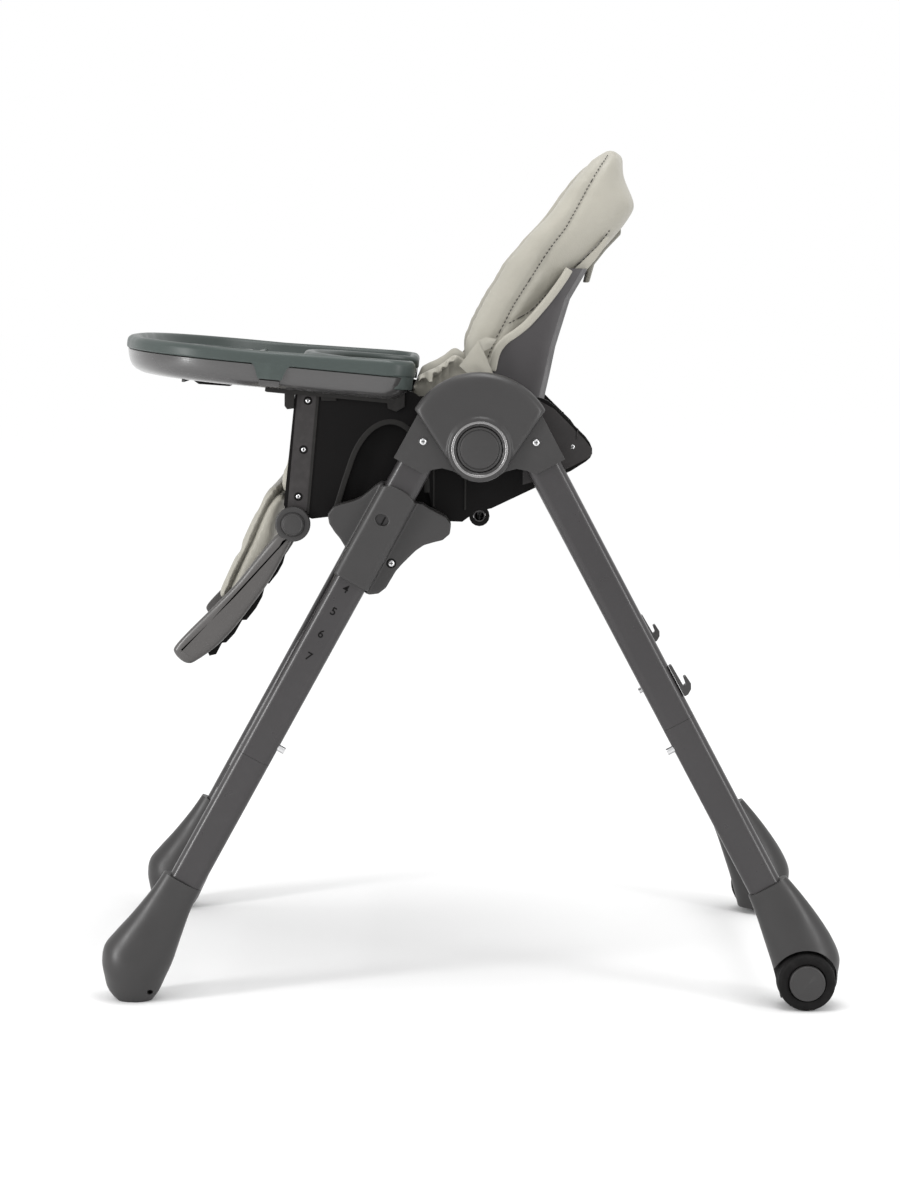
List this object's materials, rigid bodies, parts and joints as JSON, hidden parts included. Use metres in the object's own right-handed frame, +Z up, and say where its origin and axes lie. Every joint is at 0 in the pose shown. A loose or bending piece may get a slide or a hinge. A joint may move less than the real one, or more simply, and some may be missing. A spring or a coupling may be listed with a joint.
{
  "type": "baby high chair",
  "caption": "Folding baby high chair with padded reclining seat, sliding double tray, footrest, height-adjustable seat on splayed oval-tube legs and rear wheels.",
  "frame": {"origin": "on the floor, at the middle of the chair's footprint", "axes": "+Z up, -Y towards the tray and the chair's front, +X towards the seated child's left"},
  "size_m": [0.5672, 0.8695, 1.01],
  "materials": {
    "frame_paint": "satin dark grey powder coat",
    "hub_plastic": "fine satin moulded dark grey",
    "seat_plastic": "satin near-black",
    "shell_plastic": "satin mid grey",
    "footrest_plastic": "satin mid grey",
    "tray_base_plastic": "glossy dark grey",
    "tray_top_plastic": "satin grey-green",
    "pad_fabric": "soft greige coated fabric with a fine grain",
    "webbing": "woven webbing",
    "tyre": "matt black",
    "steel": "bright zinc"
  },
  "bodies": {
    "front_frame": {"front_upper_leg_left": "frame_paint", "front_upper_leg_right": "frame_paint", "front_lower_leg_left": "frame_paint", "front_lower_leg_right": "frame_paint", "front_foot_left": "hub_plastic", "front_foot_right": "hub_plastic", "front_socket_left": "hub_plastic", "front_socket_right": "hub_plastic", "hub_cover_left": "hub_plastic", "hub_cover_right": "hub_plastic", "fold_pivot_pin_left": "steel", "fold_pivot_pin_right": "steel", "front_crossbar": "frame_paint"},
    "rear_frame": {"rear_upper_leg_left": "frame_paint", "rear_upper_leg_right": "frame_paint", "rear_lower_leg_left": "frame_paint", "rear_lower_leg_right": "frame_paint", "rear_foot_left": "hub_plastic", "rear_foot_right": "hub_plastic", "wheel_axle_left": "hub_plastic", "wheel_axle_right": "hub_plastic", "rear_socket_left": "hub_plastic", "rear_socket_right": "hub_plastic", "tray_hook_left": "hub_plastic", "tray_hook_right": "hub_plastic", "rear_crossbar": "frame_paint"},
    "wheel_left": {"rear_wheel_left": "tyre"},
    "wheel_right": {"rear_wheel_right": "tyre"},
    "seat": {"seat_bucket": "seat_plastic", "seat_side_panel_left": "seat_plastic", "seat_side_panel_right": "seat_plastic", "height_slider_left": "hub_plastic", "height_slider_right": "hub_plastic", "recline_pin_left": "steel", "recline_pin_right": "steel", "footrest_pin_left": "hub_plastic", "footrest_pin_right": "hub_plastic", "seat_cross_tube": "frame_paint", "seat_pad": "pad_fabric", "crotch_strap": "webbing", "harness_buckle": "seat_plastic"},
    "backrest": {"backrest_shell": "shell_plastic", "backrest_pad": "pad_fabric", "shoulder_strap_left": "webbing", "shoulder_strap_right": "webbing"},
    "recline_lever": {"recline_lever": "seat_plastic"},
    "footrest": {"footrest": "footrest_plastic", "calf_pad": "pad_fabric"},
    "tray": {"tray_base": "tray_base_plastic"},
    "tray_top": {"tray_top": "tray_top_plastic"},
    "tray_release": {"tray_release_lever": "seat_plastic"},
    "buckle_button": {"buckle_button": "footrest_plastic"},
    "fold_button_left": {"fold_button_left": "hub_plastic"},
    "fold_button_right": {"fold_button_right": "hub_plastic"},
    "front_snap_button_left": {"front_snap_button_left": "steel"},
    "front_snap_button_right": {"front_snap_button_right": "steel"},
    "rear_snap_button_left": {"rear_snap_button_left": "steel"},
    "rear_snap_button_right": {"rear_snap_button_right": "steel"},
    "height_latch_left": {"height_latch_left": "hub_plastic"},
    "height_latch_right": {"height_latch_right": "hub_plastic"}
  },
  "joints": [
    {"name": "frame_fold", "type": "hinge", "parent": "front_frame", "child": "rear_frame", "pos_m": [0, 0.005, 0.654], "axis": [-1, 0, 0], "range_deg": [0, 55]},
    {"name": "wheel_spin_left", "type": "hinge", "parent": "rear_frame", "child": "wheel_left", "pos_m": [0.263, 0.394, 0.034], "axis": [1, 0, 0], "continuous": true},
    {"name": "fold_button_left_press", "type": "slide", "parent": "front_frame", "child": "fold_button_left", "axis": [-1, 0, 0], "range_m": [0, 0.005], "stiffness_N_per_m": 800},
    {"name": "front_snap_left_press", "type": "slide", "parent": "front_frame", "child": "front_snap_button_left", "axis": [0, -0.8797, 0.4756], "range_m": [0, 0.006], "stiffness_N_per_m": 600},
    {"name": "rear_snap_left_press", "type": "slide", "parent": "rear_frame", "child": "rear_snap_button_left", "axis": [0, 0.8797, 0.4756], "range_m": [0, 0.006], "stiffness_N_per_m": 600},
    {"name": "height_latch_left_pull", "type": "slide", "parent": "seat", "child": "height_latch_left", "axis": [-1, 0, 0], "range_m": [0, 0.008], "stiffness_N_per_m": 1000},
    {"name": "wheel_spin_right", "type": "hinge", "parent": "rear_frame", "child": "wheel_right", "pos_m": [-0.263, 0.394, 0.034], "axis": [1, 0, 0], "continuous": true},
    {"name": "fold_button_right_press", "type": "slide", "parent": "front_frame", "child": "fold_button_right", "axis": [1, 0, 0], "range_m": [0, 0.005], "stiffness_N_per_m": 800},
    {"name": "front_snap_right_press", "type": "slide", "parent": "front_frame", "child": "front_snap_button_right", "axis": [0, -0.8797, 0.4756], "range_m": [0, 0.006], "stiffness_N_per_m": 600},
    {"name": "rear_snap_right_press", "type": "slide", "parent": "rear_frame", "child": "rear_snap_button_right", "axis": [0, 0.8797, 0.4756], "range_m": [0, 0.006], "stiffness_N_per_m": 600},
    {"name": "height_latch_right_pull", "type": "slide", "parent": "seat", "child": "height_latch_right", "axis": [1, 0, 0], "range_m": [0, 0.008], "stiffness_N_per_m": 1000},
    {"name": "seat_height", "type": "slide", "parent": "front_frame", "child": "seat", "axis": [0, -0.4756, -0.8797], "range_m": [0, 0.18]},
    {"name": "backrest_recline", "type": "hinge", "parent": "seat", "child": "backrest", "pos_m": [0, 0.032, 0.643], "axis": [-1, 0, 0], "range_deg": [0, 30]},
    {"name": "recline_lever_lift", "type": "slide", "parent": "backrest", "child": "recline_lever", "axis": [0, 0.5, 0.866], "range_m": [0, 0.012], "stiffness_N_per_m": 600},
    {"name": "footrest_tilt", "type": "hinge", "parent": "seat", "child": "footrest", "pos_m": [0, -0.212, 0.562], "axis": [-1, 0, 0], "range_deg": [-15, 45]},
    {"name": "tray_slide", "type": "slide", "parent": "seat", "child": "tray", "axis": [0, -0.9962, 0.0872], "range_m": [0, 0.2]},
    {"name": "tray_top_lift", "type": "slide", "parent": "tray", "child": "tray_top", "axis": [0, 0.0872, 0.9962], "range_m": [0, 0.06]},
    {"name": "tray_release_pull", "type": "slide", "parent": "tray", "child": "tray_release", "axis": [0, -0.9962, 0.0872], "range_m": [0, 0.008], "stiffness_N_per_m": 500},
    {"name": "buckle_button_press", "type": "slide", "parent": "seat", "child": "buckle_button", "axis": [0, 0, -1], "range_m": [0, 0.003], "stiffness_N_per_m": 600}
  ]
}
